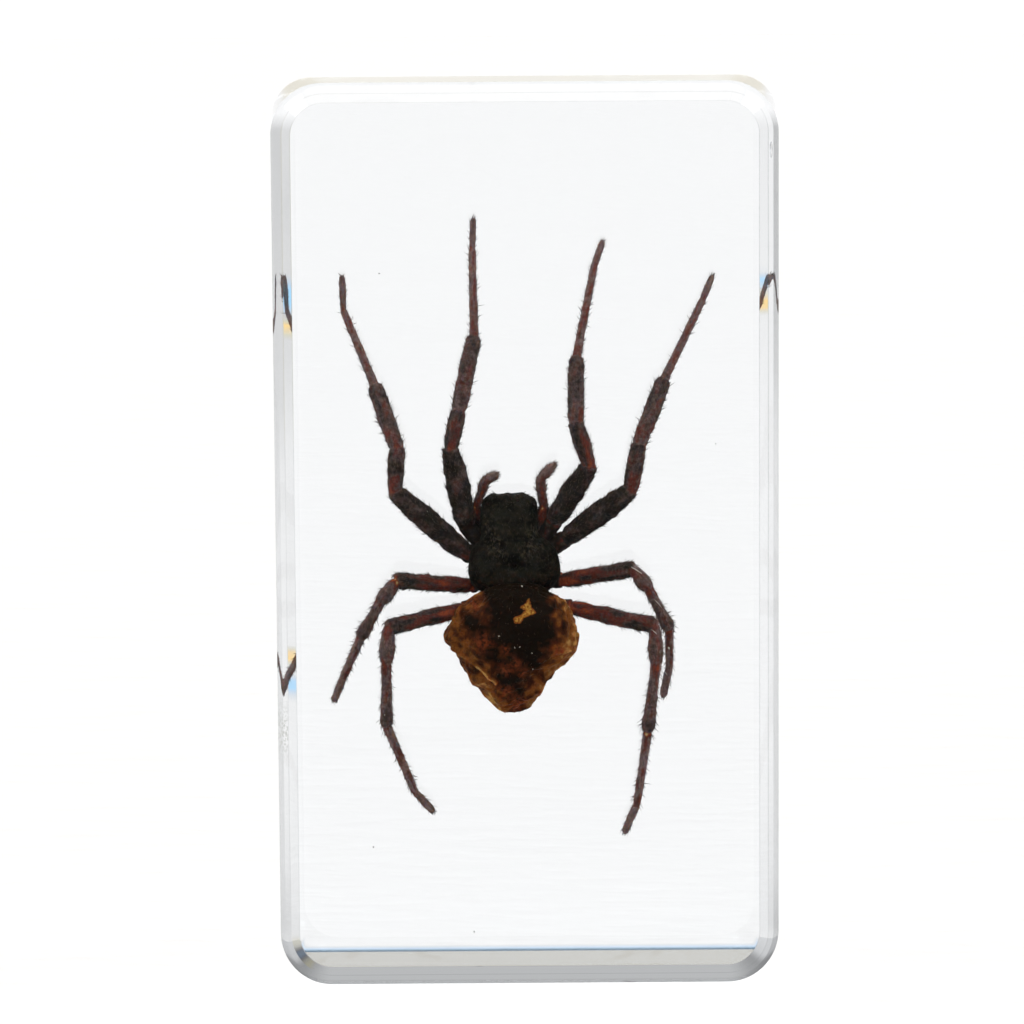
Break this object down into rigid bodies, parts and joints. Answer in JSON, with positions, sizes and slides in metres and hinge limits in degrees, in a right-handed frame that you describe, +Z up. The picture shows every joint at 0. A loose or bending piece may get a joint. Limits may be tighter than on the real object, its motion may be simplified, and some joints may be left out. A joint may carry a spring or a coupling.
{
  "type": "orb-weaver spider in a clear resin block",
  "caption": "Dried orb-weaver spider cast in an upright, edge-ground block of clear resin, a desk specimen or paperweight.",
  "frame": {"origin": "centre of the block's bottom, on the surface it stands on", "axes": "+Z up along the block's length, +Y from the front face to the back face through its thickness, +X to the right as seen from the front"},
  "size_m": [0.0414, 0.02, 0.073],
  "materials": {
    "clear_resin": "water-clear cast resin, polished",
    "dried_spider": "dried brown-black skin with fine hairs"
  },
  "bodies": {
    "root": {"resin_front": "clear_resin", "resin_back": "clear_resin", "spider": "dried_spider"}
  },
  "joints": []
}
